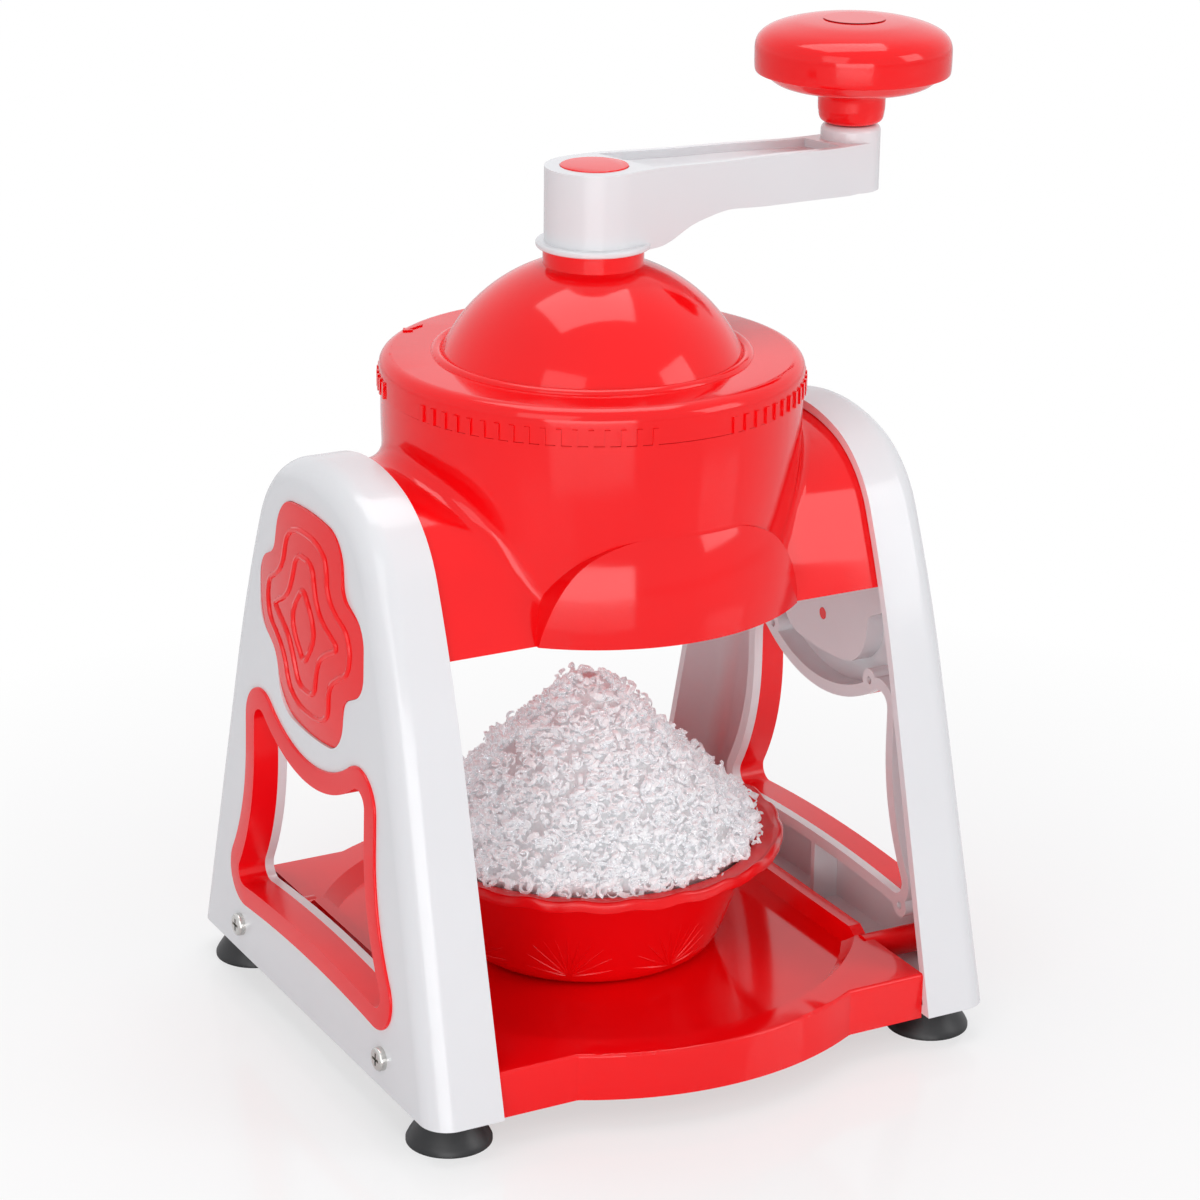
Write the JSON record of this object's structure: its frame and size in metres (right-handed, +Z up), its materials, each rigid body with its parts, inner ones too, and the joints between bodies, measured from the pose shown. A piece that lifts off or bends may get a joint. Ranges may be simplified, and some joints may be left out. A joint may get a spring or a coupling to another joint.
{
  "type": "hand cranked ice shaver",
  "caption": "Tabletop ice shaver: a crank turns a sprung toothed disc that presses ice in a hopper onto a fixed blade, and the shavings fall into a bowl on the tray.",
  "frame": {"origin": "on the table, under the middle of the whole machine's box, crank included", "axes": "+Z up from the table, -Y the front where the bowl comes out, +X towards the crank's knob"},
  "size_m": [0.223, 0.1786, 0.2785],
  "materials": {
    "white_plastic": "glossy moulded white plastic",
    "red_plastic": "glossy moulded red plastic",
    "red_trim": "glossy moulded red plastic, brighter",
    "bowl_red": "red plastic with a softer gloss",
    "black_rubber": "soft black rubber",
    "screw_steel": "nickel-plated steel",
    "shaft_steel": "turned steel",
    "blade_steel": "ground stainless steel",
    "nylon": "natural nylon",
    "ice": "shaved ice"
  },
  "bodies": {
    "stand": {"side_frame_left": "white_plastic", "side_frame_right": "white_plastic", "window_trim_left": "red_trim", "window_trim_right": "red_trim", "side_badge_left": "red_plastic", "side_badge_right": "red_plastic", "drip_tray": "red_plastic", "suction_feet": "black_rubber", "tray_screws": "screw_steel", "hopper_body": "red_plastic", "hopper_screws": "screw_steel", "blade_plate": "red_plastic", "blade_plate_screws": "screw_steel", "shaving_blade": "blade_steel", "blade_screws": "screw_steel"},
    "bearing": {"shaft_bush": "nylon"},
    "lid": {"lid": "red_plastic"},
    "crank": {"crank_arm": "white_plastic", "crank_cap": "red_plastic", "crank_screw": "screw_steel", "crank_shaft": "shaft_steel", "shaft_washer": "screw_steel", "shaft_clip": "screw_steel", "press_spring": "shaft_steel", "presser_washer": "screw_steel", "presser_screw": "screw_steel", "knob_bolt": "screw_steel", "knob_nut": "screw_steel"},
    "knob": {"knob_top": "red_plastic", "knob_bottom": "red_plastic"},
    "presser": {"ice_presser": "red_plastic"},
    "bowl": {"bowl": "bowl_red", "shaved_ice": "ice"}
  },
  "joints": [
    {"name": "lid_lift", "type": "slide", "parent": "stand", "child": "bearing", "axis": [0, 0, 1], "range_m": [0, 0.09]},
    {"name": "lid_turn", "type": "hinge", "parent": "bearing", "child": "lid", "pos_m": [-0.01952, 0, 0.19], "axis": [0, 0, 1], "range_deg": [-25, 0]},
    {"name": "crank_spin", "type": "hinge", "parent": "bearing", "child": "crank", "pos_m": [-0.01952, 0, 0.228], "axis": [0, 0, 1], "continuous": true},
    {"name": "knob_spin", "type": "hinge", "parent": "crank", "child": "knob", "pos_m": [0.08238, 0.02922, 0.25], "axis": [0, 0, 1], "continuous": true},
    {"name": "presser_slide", "type": "slide", "parent": "crank", "child": "presser", "axis": [0, 0, 1], "range_m": [0, 0.024], "stiffness_N_per_m": 150, "springref_m": -0.01, "deforming": ["press_spring"]},
    {"name": "bowl_slide", "type": "slide", "parent": "stand", "child": "bowl", "axis": [0, -0.9925, 0.1219], "range_m": [0, 0.14]}
  ]
}
